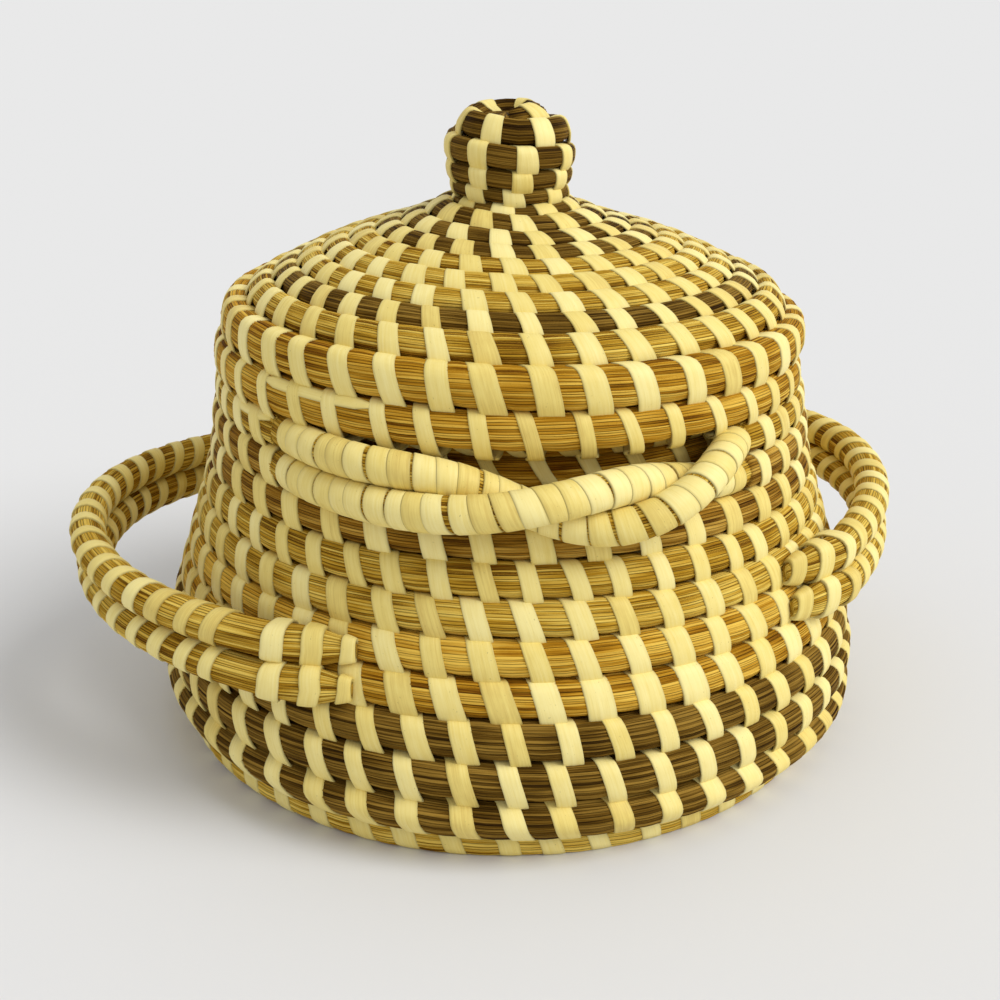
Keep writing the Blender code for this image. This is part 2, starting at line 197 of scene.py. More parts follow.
# Spacing and width of the strips: the flat base, the flange, and one value for each row above
BASE_SPACING = 14 * MM
BASE_WIDTH = 6.5 * MM
FLANGE_SPACING = 15 * MM
FLANGE_WIDTH = 5.4 * MM
BODY_SPACINGS = tuple(s * MM for s in (15.2, 16, 15.6, 15.4, 15.1, 15, 14.7, 13.4, 16.2, 14.5, 13, 13))
BODY_WIDTHS = tuple(w * MM for w in (7, 7.4, 6.5, 6.5, 8.6, 7.2, 6.9, 6, 7, 6.4, 6.4, 6.4))
LID_SPACINGS = tuple(
    s * MM for s in (15, 15.3, 15, 14.6, 14.4, 14, 13.6, 13.2, 13, 13, 13.2, 14, 15, 15, 14.5, 12)
)
LID_WIDTHS = tuple(
    w * MM for w in (5, 7.4, 6.9, 6.4, 6.9, 7.2, 7, 6.9, 6.8, 6.8, 6.8, 6.6, 6.3, 6.2, 6, 5.5)
)

# Wraps of the twisted strands
WRAP_SPACING = 6.6 * MM
WRAP_WIDTH = 6.9 * MM
WRAP_LEAN = 3.5 * MM
# Where the wraps of a strand stand apart: from and to as shares of it, and how much further apart
WRAP_GAPS = {
    "front_upper_strand": ((0.07, 0.1, 3.6 * MM), (0.2, 0.4, 1.3 * MM)),
    "front_lower_strand": ((0.88, 1, 1.3 * MM),),
}

# Strips of the handles, and the ties near their ends
HANDLE_SPACING = 11.4 * MM
HANDLE_WIDTH = 5.6 * MM
HANDLE_LEAN = 4 * MM
HANDLE_FIRST_TIE = 3 * MM
HANDLE_TIE_REACH = 38 * MM
HANDLE_TIE_WIDTH = 6.2 * MM
HANDLE_TIE_SPACING = 12 * MM

# Flat strips that lie along a row: the lid's edge and the upper rim, both at the left front
LID_LAID_TURNS = (0.088, 0.155)
RIM_LAID_TURNS = (10.152, 10.188)
LAID_WIDTH = 3.6 * MM
LAID_LIFT = 0.3 * MM
LAID_TAPER = 5 * MM
LAID_END_SHARE = 0.4
LAID_ANGLE = 46 * DEG
LAID_POINTS = 5

# Bundle ends that stand upright in the eyes of the base and of the knob
KNOT_RINGS = 14
KNOT_SIDE_SHARE = 0.6
KNOT_TIP_SHARE = 0.1
KNOT_DOME = 1 * MM
EYE_KNOT_RISE = 2 * MM

# How pale the grass of each row is, from 0 to 1, and how far that moves its tone
MIDDLE_TONE = 0.5
BODY_PALE_SHARES = (0.6, 0.5, 0.5, 0.5, 0.55, 0.75, 0.65, 0.5, 0.4, 0.5, 0.5, 0.5)
LID_PALE_SHARES = (0.5, 0.45, 0.5, 0.5, 0.65, 0.7, 0.65, 0.6, 0.5, 0.5, 0.5, 0.5)
EVEN_PALE_SHARES = (MIDDLE_TONE, MIDDLE_TONE)
PALE_REACH = 0.3

# Dark, middle and light tone of each grass, and their places on the scale of tones
GRASS_TONES = {
    "golden_grass": ((0.125, 0.046, 0.003), (0.5, 0.272, 0.018), (0.87, 0.63, 0.13)),
    "amber_grass": ((0.13, 0.043, 0.002), (0.49, 0.235, 0.012), (0.84, 0.54, 0.085)),
    "russet_grass": ((0.07, 0.025, 0.002), (0.3, 0.14, 0.01), (0.62, 0.38, 0.07)),
    "dark_grass": ((0.022, 0.009, 0.001), (0.115, 0.056, 0.005), (0.36, 0.21, 0.035)),
}
GRASS_STOPS = (0.53, 0.66, 0.82)
GRASS_FINISH = Finish(0.6, 0.6, 0.4 * MM, 0.03)

# Noises of the grass, across in steps for each stem and along in steps for each metre
STEM_NOISE = Noise(7.31, 22.0, 1.0, 0.55)
STREAK_NOISE = Noise(3.4, 38.0, 4.0, 0.65)
PATCH_NOISE = Noise(0.04, 24.0, 2.0, 0.55)
GAP_NOISE = Noise(5.73, 34.0, 1.0, 0.55)
GRASS_SEED = 91.0

# How much each of them counts in the tone, with a tone of the stem's own
OWN_SHARE = 0.16
STEM_SHARE = 0.34
STREAK_SHARE = 0.5
PATCH_SHARE = 0.36

# Gaps between the stems, which open and close along them; painted shade darkens the open gaps
GAP_POWER = 4.0
GAP_OPEN_FROM = 0.34
GAP_OPEN_GAIN = 6.0
# How dark the painted shade in an open gap is
GAP_SHADE_DARKNESS = 0.97
GAP_DEPTH = 0.8

# Palm strips: tones and their places, noises as above but for each width, painted shade at the edges, and
# specks
STRIP_TONES = ((0.25, (0.6, 0.42, 0.1)), (0.55, (0.81, 0.645, 0.19)), (0.9, (0.91, 0.785, 0.33)))
FIBRE_NOISE = Noise(11.0, 60.0, 4.0, 0.7)
CLOUD_NOISE = Noise(1.3, 130.0, 2.0, 0.55)
SPECK_NOISE = Noise(9.0, 1100.0, 2.0, 0.55)
STRIP_SEED = 37.0
STRIP_OWN_SHARE = 0.42
FIBRE_SHARE = 0.6
CLOUD_SHARE = 0.3
# Painted shade along the strips' edges: how narrow and how dark it is
EDGE_SHADE_POWER = 8.0
EDGE_SHADE_DARKNESS = 0.35
SPECK_FROM = 0.73
SPECK_DARKNESS = 0.3
STRIP_FINISH = Finish(0.5, 0.35, 0.3 * MM, 0.2)

# Camera and light
CAMERA_DISTANCE = 520 * MM
CAMERA_HEADING = -8 * DEG
CAMERA_ELEVATION = 21.5 * DEG
AIM_HEIGHT = 74.5 * MM
SENSOR_WIDTH = 36
FOCAL_SHARE = 1.352
AXIS_SHIFT = -0.010
CLIP_NEAR = 0.01
CLIP_FAR = 100
SUN_HEADING = 62 * DEG
SUN_ELEVATION = 42 * DEG
SUN_SPREAD = 36 * DEG
SUN_STRENGTH = 2.1
SKY_STRENGTH = 0.66
FLOOR_HALF_SIZE = 40
FLOOR_COLOUR = (0.735, 0.735, 0.735, 1)
FLOOR_ROUGHNESS = 0.9
BACKDROP_COLOUR = (0.807, 0.807, 0.807, 1)

RANDOM_SEED = 7
rng = np.random.default_rng(RANDOM_SEED)


def between(low, high, share):
    return low + (high - low) * min(max(share, 0), 1)


def read_off(table, place):
    row = min(int(place), len(table) - 2)
    return between(table[row], table[row + 1], place - row)


def spot(heading, radius, height):
    return (radius * math.sin(heading), -radius * math.cos(heading), height)


def sewn_to(section, bundle, lean, gap=SEWN_GAP):
    distance = (section.bundle + bundle) / 2 + gap
    radius = section.radius + distance * math.cos(lean * DEG)
    height = section.height + distance * math.sin(lean * DEG)
    return Section(radius, height, bundle, lean)


def body_bundle(turn):
    return between(BASE_BUNDLE, RIM_BUNDLE, turn / UPPER_RIM_TURN)


def wind_body():
    rows = {}
    height = BASE_BUNDLE / 2 - BASE_BUNDLE * FLOOR_CUT_SHARE
    pitch = BASE_BUNDLE + SEWN_GAP
    cad_steps = int((FOOT_RADIUS - START_LOOP_RADIUS) / pitch * CAD_STEPS)
    first = -cad_steps * STEPS // CAD_STEPS
    for step in range(first, round(BODY_END_TURN * STEPS) + 1):
        turn = step / STEPS
        if turn <= 0:
            rows[step] = Section(FOOT_RADIUS + turn * pitch, height, BASE_BUNDLE, 0)
        else:
            rows[step] = sewn_to(rows[step - STEPS], body_bundle(turn), read_off(BODY_LEANS, turn))
    return rows


def lid_bundle(turn):
    if turn < EDGE_FULL_TURN:
        share = (turn - LID_START_TURN) / (EDGE_FULL_TURN - LID_START_TURN)
        return between(RIM_BUNDLE, EDGE_BUNDLE, share)
    share = (turn - EDGE_END_TURN) / (CROWN_START_TURN - EDGE_END_TURN)
    return between(EDGE_BUNDLE, CROWN_BUNDLE, share)


def knob_bundle(turns_up):
    if turns_up < 1:
        return between(CROWN_BUNDLE, KNOB_NECK_BUNDLE, turns_up)
    share = (turns_up - KNOB_NECK_TURNS) / (KNOB_FULL_TURNS - KNOB_NECK_TURNS)
    return between(KNOB_NECK_BUNDLE, KNOB_TOP_BUNDLE, share)


def wind_lid(body):
    """The lid's sections, and the turn at which the knob starts, on the part's own steps."""
    rows = {}
    pair = 2 * STEPS // CAD_STEPS
    first = round(LID_START_TURN * STEPS)
    for step in range(first, first + STEPS):
        rim = body[step + UPPER_RIM_TURN * STEPS]
        rows[step] = sewn_to(rim, lid_bundle(step / STEPS), SEAT_LEAN, SEAT_GAP)
    step = max(rows)
    while rows[step].radius > KNOB_FOOT_RADIUS or step % pair:
        step += 1
        turn = step / STEPS
        rows[step] = sewn_to(rows[step - STEPS], lid_bundle(turn), read_off(LID_LEANS, turn))
    foot = step
    while rows[step].radius > KNOB_EYE_RADIUS or step % pair:
        step += 1
        turns_up = (step - foot) / STEPS
        lean = read_off(KNOB_LEANS, turns_up)
        rows[step] = sewn_to(rows[step - STEPS], knob_bundle(turns_up), lean, KNOB_SEWN_GAP)
    return rows, foot / STEPS


def wind_flange(lid):
    rows = {}
    last = round(LID_START_TURN * STEPS) + STEPS
    for step in range(last, last - FLANGE_TURNS * STEPS - 1, -1):
        if step > last - STEPS:
            rows[step] = sewn_to(lid[step], FLANGE_BUNDLE, FLANGE_LEAN, FLANGE_SEWN_GAP)
        else:
            rows[step] = sewn_to(rows[step + STEPS], FLANGE_BUNDLE, FLANGE_DROP_LEAN)
    return rows


def thin_end(rows, last, inward):
    """Thins the bundle out over two of the part's steps at one end, and lays it on its row."""
    step_size = STEPS // CAD_STEPS
    for index in range(2 * step_size):
        share = np.interp(index / step_size, (0, 1, 2), (FIRST_TIP_SHARE, SECOND_TIP_SHARE, 1))
        step = last + index * inward
        full = rows[step]
        distance = full.bundle * (share - 1) / 2
        radius = full.radius + distance * math.cos(full.lean * DEG)
        height = full.height + distance * math.sin(full.lean * DEG)
        rows[step] = Section(radius, height, full.bundle * share, full.lean)


def section_at(rows, turn):
    step = min(math.floor(turn * STEPS), max(rows) - 1)
    share = turn * STEPS - step
    return Section(*(between(low, high, share) for low, high in zip(rows[step], rows[step + 1])))


def twist_roots(turns_back):
    right_root = LOWER_RIM_TURN - (TWIST_CENTRE + TWIST_HALF_SPAN) / TURN + turns_back
    left_root = LOWER_RIM_TURN - (TWIST_CENTRE - TWIST_HALF_SPAN) / TURN + turns_back
    return right_root, left_root


def twist_turned(share):
    """How much of the whole turn is done at a share of the twist, which starts and ends gently."""
    def eased(place):
        way = (place - TWIST_START_SHARE) / (TWIST_END_SHARE - TWIST_START_SHARE)
        way = min(max(way, 0), 1)
        return way * way * (3 - 2 * way)
    return eased(share) / eased(1)


def twist_run(body, turns_back, upper):
    right_root, left_root = twist_roots(turns_back)
    points, bundles = [], []
    for index in range(STEPS + 1):
        turn = between(right_root, left_root, index / STEPS)
        share = 1 - index / STEPS
        low = section_at(body, turn)
        high = section_at(body, turn + 1)
        rise = high.height - low.height
        run = high.radius - low.radius
        arch = math.sin(math.pi * share)
        apart = math.hypot(rise, run) + 2 * TWIST_CLEARANCE * arch
        spread = apart * between(0.5, TWIST_UPPER_SHARE if upper else 1 - TWIST_UPPER_SHARE, arch)
        angle = math.atan2(rise, run) + TURN * twist_turned(share)
        if not upper:
            angle += math.pi
        radius = (low.radius + high.radius) / 2 + TWIST_BULGE * arch + spread * math.cos(angle)
        height = (low.height + high.height) / 2 - TWIST_DROP * arch + spread * math.sin(angle)
        points.append(spot(-turn * TURN, radius, height))
        bundles.append((high if upper else low).bundle)
    return run_of(np.linspace(0, 1, STEPS + 1), points, bundles, [UPRIGHT] * len(points))


def handle_runs(body, centre, half_span, row, finger_gap):
    """The upper and the lower bundle of a handle, which flatten against the wall at both ends."""
    upper, lower, bundles, heights = [], [], [], []
    for offset in np.linspace(-half_span, half_span, STEPS + 1):
        heading = centre + offset
        turn = row - heading / TURN
        from_end = half_span - abs(offset)
        bundle = between(HANDLE_TIP_BUNDLE, HANDLE_BUNDLE, from_end / HANDLE_TAIL)
        bundle *= between(HANDLE_END_SHARE, 1, from_end / HANDLE_END)
        arch = max(math.cos(offset / half_span * math.pi / 2), 0) ** HANDLE_ARCH_POWER
        lift = HANDLE_LIFT * arch * (1 - math.cos(heading)) / 2
        high = section_at(body, turn)
        low = section_at(body, turn - 1)
        upper_radius = high.radius + high.bundle / 2 + bundle / 2 + finger_gap * arch
        lower_radius = low.radius + low.bundle / 2 + bundle / 2 + (finger_gap - HANDLE_TUCK) * arch
        across = upper_radius - lower_radius
        needed_rise = math.sqrt(max((bundle + SEWN_GAP) ** 2 - across * across, 0))
        spread = max(needed_rise - (high.height - low.height), 0) / 2
        upper.append(spot(heading, upper_radius, high.height + lift + spread))
        lower.append(spot(heading, lower_radius, low.height + lift - spread))
        bundles.append(bundle)
        heights.append(between(HANDLE_TIP_TALL_SHARE, 1, from_end / HANDLE_TAIL))
    leans = [UPRIGHT] * len(bundles)
    shares = np.linspace(0, 1, STEPS + 1)
    runs = (run_of(shares, points, bundles, leans) for points in (upper, lower))
    return [run._replace(up=run.up * np.array(heights)[:, None]) for run in runs]


def wound_run(rows):
    """The run of a whole wound bundle."""
    steps = sorted(rows)
    turns = [step / STEPS for step in steps]
    points = [spot(-turn * TURN, rows[step].radius, rows[step].height) for turn, step in zip(turns, steps)]
    return run_of(turns, points, [rows[s].bundle for s in steps], [rows[s].lean for s in steps])


def run_of(turns, points, bundles, leans):
    """A run with its directions across, outwards and upwards, and its length up to each point."""
    point = np.array(points, float)
    way = np.gradient(point, axis=0)
    way /= np.linalg.norm(way, axis=1)[:, None]
    out = np.cross(way, (0, 0, 1))
    out /= np.linalg.norm(out, axis=1)[:, None]
    out[(out * point).sum(1) < 0] *= -1
    up = np.cross(out, way)
    up[up[:, 2] < 0] *= -1
    length = np.concatenate(([0], np.cumsum(np.linalg.norm(np.diff(point, axis=0), axis=1))))
    middle = len(point) // 2
    facing = float(np.sign(np.cross(up[middle], way[middle]) @ out[middle]))
    turns, bundles, leans = (np.array(values, float) for values in (turns, bundles, leans))
    return Run(turns, point, out, up, bundles, leans, length, facing)


def length_at(run, turn):
    return float(np.interp(turn, run.turn, run.length))


def along(run, lengths):
    """Point, directions across, bundle and lean at any lengths along the run."""
    def read(column):
        if column.ndim == 1:
            return np.interp(lengths, run.length, column)
        return np.stack([np.interp(lengths, run.length, part) for part in column.T], -1)
    return read(run.point), read(run.out), read(run.up), read(run.bundle), read(run.lean) * DEG


def squared(angle):
    """Reach of a bundle that its neighbours press a little square, as a share of its half width."""
    cosine = np.abs(np.cos(angle)) ** SQUARENESS
    sine = np.abs(np.sin(angle)) ** SQUARENESS
    return (cosine + sine) ** (-1 / SQUARENESS)


def points_round(point, out, up, angle, reach):
    """Points at an angle and a reach round the middle line of a run."""
    ring = out * np.cos(angle)[..., None] + up * np.sin(angle)[..., None]
    return point + ring * reach[..., None]


def strip_places(run, spacing_at, first=0.0):
    """Lengths along the run at which its strips lie."""
    places = []
    place = first
    while place < run.length[-1]:
        places.append(place)
        place += spacing_at(float(np.interp(place, run.length, run.turn)))
    places = np.array(places)
    return places + rng.uniform(-STRIP_SHIFT, STRIP_SHIFT, len(places))


def shift_along(share, lean, travel):
    """How far a strip has moved along the bundle at a share of its way round, from its outer middle."""
    outer = lean * (share - OUTER_MIDDLE) / HALF_WAY
    inner = lean / 2 + (travel - lean) * (share - HALF_WAY) / HALF_WAY
    return np.where(share < HALF_WAY, outer, inner)


def mesh_object(name, corners, quads, caps, grain, cap_grain, tone, material):
    """A mesh of quads and end caps. Grain and tone are two values for each corner of each face."""
    mesh = bpy.data.meshes.new(name)
    flat = np.concatenate([quads.ravel(), *caps])
    sizes = np.concatenate([np.full(len(quads), 4), [len(cap) for cap in caps]])
    starts = np.concatenate(([0], np.cumsum(sizes)[:-1]))
    mesh.vertices.add(len(corners))
    mesh.vertices.foreach_set("co", corners.astype(np.float32).ravel())
    mesh.loops.add(len(flat))
    mesh.loops.foreach_set("vertex_index", flat.astype(np.int32))
    mesh.polygons.add(len(sizes))
    mesh.polygons.foreach_set("loop_start", starts.astype(np.int32))
    mesh.update(calc_edges=True)
    for label, values in (("Grain", np.concatenate([grain.reshape(-1, 2), *cap_grain])), ("Tone", tone)):
        layer = mesh.uv_layers.new(name=label)
        layer.data.foreach_set("uv", values.astype(np.float32).ravel())
    mesh.validate()
    mesh.shade_smooth()
    mesh.materials.append(material)
    made = bpy.data.objects.new(name, mesh)
    bpy.context.scene.collection.objects.link(made)
    return made


def tube_quads(rings, size, turned):
    """Corner numbers of the faces between rings of equal size."""
    row = np.arange(rings - 1)[:, None] * size
    this = np.arange(size)[None, :]
    following = (this + 1) % size
    parts = (row + this, row + following, row + size + following, row + size + this)
    quads = np.stack(np.broadcast_arrays(*parts), -1).reshape(-1, 4)
    return quads[:, ::-1] if turned else quads


def tube_caps(rings, size, turned, start=0):
    """Corner numbers of a tube's two ends."""
    first = start + np.arange(size)
    last = first + (rings - 1) * size
    return [first, last[::-1]] if turned else [first[::-1], last]


def tube_grain(u, u_next, v, turned):
    """Grain of the corners of a tube's faces: u goes round the tube and v along it."""
    round_part = np.stack((u, u_next, u_next, u), -1)
    along_part = np.stack((v[..., :-1], v[..., :-1], v[..., 1:], v[..., 1:]), -1)[..., None, :]
    grain = np.stack(np.broadcast_arrays(round_part, along_part), -1).reshape(-1, 4, 2)
    return grain[:, ::-1] if turned else grain


def cap_grain_of(u, v):
    """Grain of a tube's two ends, from the first and the last value along it."""
    return [np.stack((u, np.full(len(u), end)), -1) for end in (v[0], v[-1])]


def tube_object(name, ring, u, u_next, v, cap_v, turned, material, tone=None):
    """One closed tube from its rings of points, in an even tone where none is given."""
    rings, size = ring.shape[:2]
    quads = tube_quads(rings, size, turned)
    caps = tube_caps(rings, size, turned)
    if tone is None:
        tone = np.full((4 * len(quads) + 2 * size, 2), MIDDLE_TONE)
    grain = tube_grain(u, u_next, v, turned)
    cap_grain = cap_grain_of(u, cap_v)
    return mesh_object(name, ring.reshape(-1, 3), quads, caps, grain, cap_grain, tone, material)


def wrap_spacing(node, share):
    """Spacing of a strand's wraps at a share of its length."""
    gaps = WRAP_GAPS.get(node, ())
    return WRAP_SPACING + sum(more for start, end, more in gaps if start <= share < end)


def pinched(lengths, from_lean, places, lean):
    """Reach of the stems as a share: less under each strip, more between the strips."""
    round_share = (from_lean / TURN + HALF_WAY) % 1
    spacings = np.interp(lengths, places[:-1], np.diff(places))
    met = lengths[:, None] - shift_along(round_share, lean, spacings[:, None])
    index = np.interp(met, places, np.arange(len(places)))
    return 1 - PINCH_SHARE * np.cos(TURN * index)


def grass(name, run, low, high, places, lean, material, pale_shares, spacing=RING_SPACING, pressed=True):
    """The stems of a bundle as a closed tube, with grooves between them and a waist under each strip."""
    rings = max(int((high - low) / spacing), LEAST_FACES_ALONG) + 1
    size = 2 * STEMS
    lengths = np.linspace(low, high, rings)
    point, out, up, bundle, lean_at = along(run, lengths)
    widths = rng.uniform(*STEM_WIDTHS, STEMS)
    phases = rng.uniform(0, TURN, STEMS)
    edges = np.concatenate(([0], np.cumsum(widths))) * TURN / widths.sum()
    angles = np.stack((edges[:-1], (edges[1:] + edges[:-1]) / 2), 1).ravel()
    wander = STEM_WANDER * np.sin(TURN * lengths / STEM_WANDER_WAVE + phases[0])
    angle = angles[None, :] + wander[:, None]
    waves = STEM_WAVE * (LEAST_WAVE_SHARE + widths)
    lifts = np.sin(TURN * lengths[:, None] / waves[None, :] + phases[None, :])
    reach = np.ones((rings, size))
    reach[:, 0::2] -= STEM_GROOVE_SHARE
    reach[:, 1::2] += STEM_LIFT_SHARE * lifts
    if len(places) > 1:
        reach *= pinched(lengths, angle - lean_at[:, None], places, lean)
    if pressed:
        reach *= squared(angle - lean_at[:, None])
    reach *= (bundle / 2)[:, None]
    ring = points_round(point[:, None, :], out[:, None, :], up[:, None, :], angle, reach)
    ring[..., 2] = np.maximum(ring[..., 2], UNDERSIDE_LIFT)
    turns = np.interp(lengths, run.length, run.turn)
    pale = np.interp(turns, np.arange(len(pale_shares)), pale_shares)
    face_pale = np.repeat(pale[:-1], 4 * size)
    cap_pale = np.repeat(pale[[0, -1]], size)
    pale = np.concatenate((face_pale, cap_pale))
    tone = np.stack((np.full(len(pale), rng.uniform()), pale), -1)
    stem = np.arange(size) / 2
    return tube_object(name, ring, stem, stem + 0.5, lengths, (low, high), run.facing < 0, material, tone)


def strips(name, run, middles, widths, lean, travels, material, pressed=True):
    """The strips of a bundle: helical bands that go once round it.

    On a sewn row both ends leave the bundle, cross the seam and dive into the row before.
    """
    across, lift = np.array(STRIP_OUTLINE_SHARES if pressed else WRAP_OUTLINE_SHARES).T
    size = len(across)
    count = len(middles)
    degrees = np.concatenate((STRIP_HALF_DEGREES, [180], 360 - np.array(STRIP_HALF_DEGREES[::-1])))
    share = degrees / 360
    rings = len(share)
    width = np.array(widths) * rng.uniform(1 - WIDTH_JITTER, 1 + WIDTH_JITTER, count)
    leans = lean * rng.uniform(1 - LEAN_JITTER, 1 + LEAN_JITTER, count)
    curl = rng.uniform(-STRIP_CURL, STRIP_CURL, count)
    shift = shift_along(share[None, :], leans[:, None], np.array(travels)[:, None])
    centre = np.array(middles)[:, None] + shift
    taper = width[:, None] * (1 + curl[:, None] * (share[None, :] - OUTER_MIDDLE))
    lengths = centre[:, :, None] + across[None, None, :] * taper[:, :, None]
    lengths = np.clip(lengths, run.length[0], run.length[-1])
    point, out, up, bundle, lean_at = along(run, lengths)
    from_lean = TURN * share[None, :, None] - math.pi
    reach = bundle / 2 * (1 - PINCH_SHARE)
    if pressed:
        dive = np.interp(np.minimum(degrees, 360 - degrees), DIVE_DEGREES, DIVE_SHARES, right=0)
        reach = bundle / 2 * np.maximum((1 - PINCH_SHARE) * squared(from_lean), dive[None, :, None])
    reach = reach + STRIP_THICKNESS * lift[None, None, :]
    ring = points_round(point, out, up, lean_at + from_lean, reach)
    ring[..., 2] = np.maximum(ring[..., 2], 0)
    turned = run.facing > 0
    starts = np.arange(count) * size * rings
    quads = (tube_quads(rings, size, turned)[None] + starts[:, None, None]).reshape(-1, 4)
    u = across + 0.5
    girth = TURN * bundle.mean((1, 2)) / 2
    v = share[None, :] * girth[:, None] + np.arange(count)[:, None]
    grain = tube_grain(u, np.roll(u, -1), v, turned)
    tones = rng.uniform(size=(count, 2))
    tone = np.concatenate((np.repeat(tones, 4 * size * (rings - 1), 0), np.repeat(tones, 2 * size, 0)))
    caps, cap_grain = [], []
    for start, grain_along in zip(starts, v):
        caps += tube_caps(rings, size, turned, start)
        cap_grain += cap_grain_of(u, grain_along)
    return mesh_object(name, ring.reshape(-1, 3), quads, caps, grain, cap_grain, tone, material)


def node_tree(material):
    material.use_nodes = True
    tree = material.node_tree

    def add(kind, inputs=(), **settings):
        node = tree.nodes.new(kind)
        for key, value in settings.items():
            setattr(node, key, value)
        for key, value in dict(inputs).items():
            if isinstance(value, bpy.types.NodeSocket):
                tree.links.new(value, node.inputs[key])
            else:
                node.inputs[key].default_value = value
        return node
    return tree, add


def maths(add, operation, first, second=0.0):
    return add("ShaderNodeMath", {0: first, 1: second}, operation=operation).outputs[0]


def times(add, first, second):
    return maths(add, "MULTIPLY", first, second)


def minus(add, first, second):
    return maths(add, "SUBTRACT", first, second)


def weighed(add, start, parts):
    """A first value and the sum of the others, each times its share."""
    total = start
    for part, share in parts:
        total = maths(add, "ADD", total, times(add, part, share))
    return total


def ramp_of(add, factor, stops):
    ramp = add("ShaderNodeValToRGB", {"Fac": factor})
    elements = ramp.color_ramp.elements
    while len(elements) < len(stops):
        elements.new(0.5)
    for element, (place, colour) in zip(elements, stops):
        element.position = place
        element.color = (*colour, 1)
    return ramp.outputs["Color"]


def multiplied(add, colour, factor):
    return add("ShaderNodeVectorMath", {0: colour, "Scale": factor}, operation="SCALE").outputs[0]


def surface(add, tree, colour, height, finish):
    shader = tree.nodes["Principled BSDF"]
    relief = {"Height": height, "Strength": finish.bump_strength, "Distance": finish.bump_depth}
    bump = add("ShaderNodeBump", relief)
    tree.links.new(colour, shader.inputs["Base Color"])
    tree.links.new(bump.outputs[0], shader.inputs["Normal"])
    shader.inputs["Roughness"].default_value = finish.roughness
    shader.inputs["Specular IOR Level"].default_value = finish.specular


def grain_of(add, label="Grain"):
    uv = add("ShaderNodeUVMap", uv_map=label)
    parts = add("ShaderNodeSeparateXYZ", {0: uv.outputs[0]})
    return parts.outputs[0], parts.outputs[1]


def noise(add, kind, u, v, seed):
    across, along_it = times(add, u, kind.across), times(add, v, kind.along)
    place = add("ShaderNodeCombineXYZ", {0: across, 1: along_it, 2: seed})
    settings = {"Scale": 1.0, "Detail": kind.detail, "Roughness": kind.roughness}
    return add("ShaderNodeTexNoise", {"Vector": place.outputs[0], **settings}).outputs["Fac"]


def stem_gaps_and_shade(add, u, v, seed):
    """How deep the grooves between the stems are, and the painted shade in them, darker where a gap opens.
    """
    off_middle = maths(add, "ABSOLUTE", minus(add, maths(add, "FRACT", u), 0.5))
    groove = maths(add, "POWER", times(add, off_middle, 2.0), GAP_POWER)
    gap_number = maths(add, "FLOOR", maths(add, "ADD", u, 0.5))
    opened = minus(add, noise(add, GAP_NOISE, gap_number, v, seed), GAP_OPEN_FROM)
    opened = times(add, opened, GAP_OPEN_GAIN)
    opened = maths(add, "MINIMUM", maths(add, "MAXIMUM", opened, 0.0), 1.0)
    # The second value is painted shade in the open gaps between the stems
    return groove, times(add, times(add, groove, opened), GAP_SHADE_DARKNESS)


def grass_material(name, tones):
    """Dry stems: each has its own tone that changes along it, with fine streaks and painted shade in the
    gaps between them.
    """
    material = bpy.data.materials.new(name)
    tree, add = node_tree(material)
    u, v = grain_of(add)
    piece, pale = grain_of(add, "Tone")
    stem = maths(add, "FLOOR", u)
    seed = times(add, piece, GRASS_SEED)
    stem_place = add("ShaderNodeCombineXYZ", {0: stem, 1: seed}).outputs[0]
    own = add("ShaderNodeTexWhiteNoise", {"Vector": stem_place}, noise_dimensions="2D").outputs["Value"]
    streak = noise(add, STREAK_NOISE, u, v, seed)
    parts = (
        (own, OWN_SHARE),
        (noise(add, STEM_NOISE, stem, v, seed), STEM_SHARE),
        (streak, STREAK_SHARE),
        (noise(add, PATCH_NOISE, u, v, seed), PATCH_SHARE),
    )
    total = weighed(add, times(add, minus(add, pale, MIDDLE_TONE), PALE_REACH), parts)
    colour = ramp_of(add, total, tuple(zip(GRASS_STOPS, tones)))
    groove, gap_shade = stem_gaps_and_shade(add, u, v, seed)
    # Painted shade darkens the gaps between the stems
    colour = multiplied(add, colour, minus(add, 1.0, gap_shade))
    height = minus(add, streak, times(add, groove, GAP_DEPTH))
    surface(add, tree, colour, height, GRASS_FINISH)
    return material


def strip_material(name):
    """Cream palm strip: a fine grain along it, its own tone, a few specks and painted shade along its
    edges, where it meets the stems.
    """
    material = bpy.data.materials.new(name)
    tree, add = node_tree(material)
    u, v = grain_of(add)
    tone, other = grain_of(add, "Tone")
    seed = times(add, other, STRIP_SEED)
    fibre = noise(add, FIBRE_NOISE, u, v, seed)
    parts = ((fibre, FIBRE_SHARE), (noise(add, CLOUD_NOISE, u, v, seed), CLOUD_SHARE))
    colour = ramp_of(add, weighed(add, times(add, tone, STRIP_OWN_SHARE), parts), STRIP_TONES)
    # Painted shade along the strip's edges, where it meets the stems
    off_middle = times(add, maths(add, "ABSOLUTE", minus(add, u, 0.5)), 2.0)
    edge = times(add, maths(add, "POWER", off_middle, EDGE_SHADE_POWER), EDGE_SHADE_DARKNESS)
    specked = maths(add, "GREATER_THAN", noise(add, SPECK_NOISE, u, v, seed), SPECK_FROM)
    # Painted edge shade and the strip's own specks both darken it
    edge_shade_and_specks = minus(add, minus(add, 1.0, edge), times(add, specked, SPECK_DARKNESS))
    surface(add, tree, multiplied(add, colour, edge_shade_and_specks), fibre, STRIP_FINISH)
    return material


def make_looks():
    """Each grass with its slot and the strip that sews it, by the grass's name."""
    grasses = {name: grass_material(name, tones) for name, tones in GRASS_TONES.items()}
    strip = strip_material("palm_strip")
    return {name: Look(name, material, strip) for name, material in grasses.items()}


def dress(names, body):
    """Rides the grass and the strips of one bundle on a body; the grass stands for the part's node."""
    piece, strip, node = names
    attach(piece, body)
    if node:
        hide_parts(node)
    if strip:
        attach(strip, body)


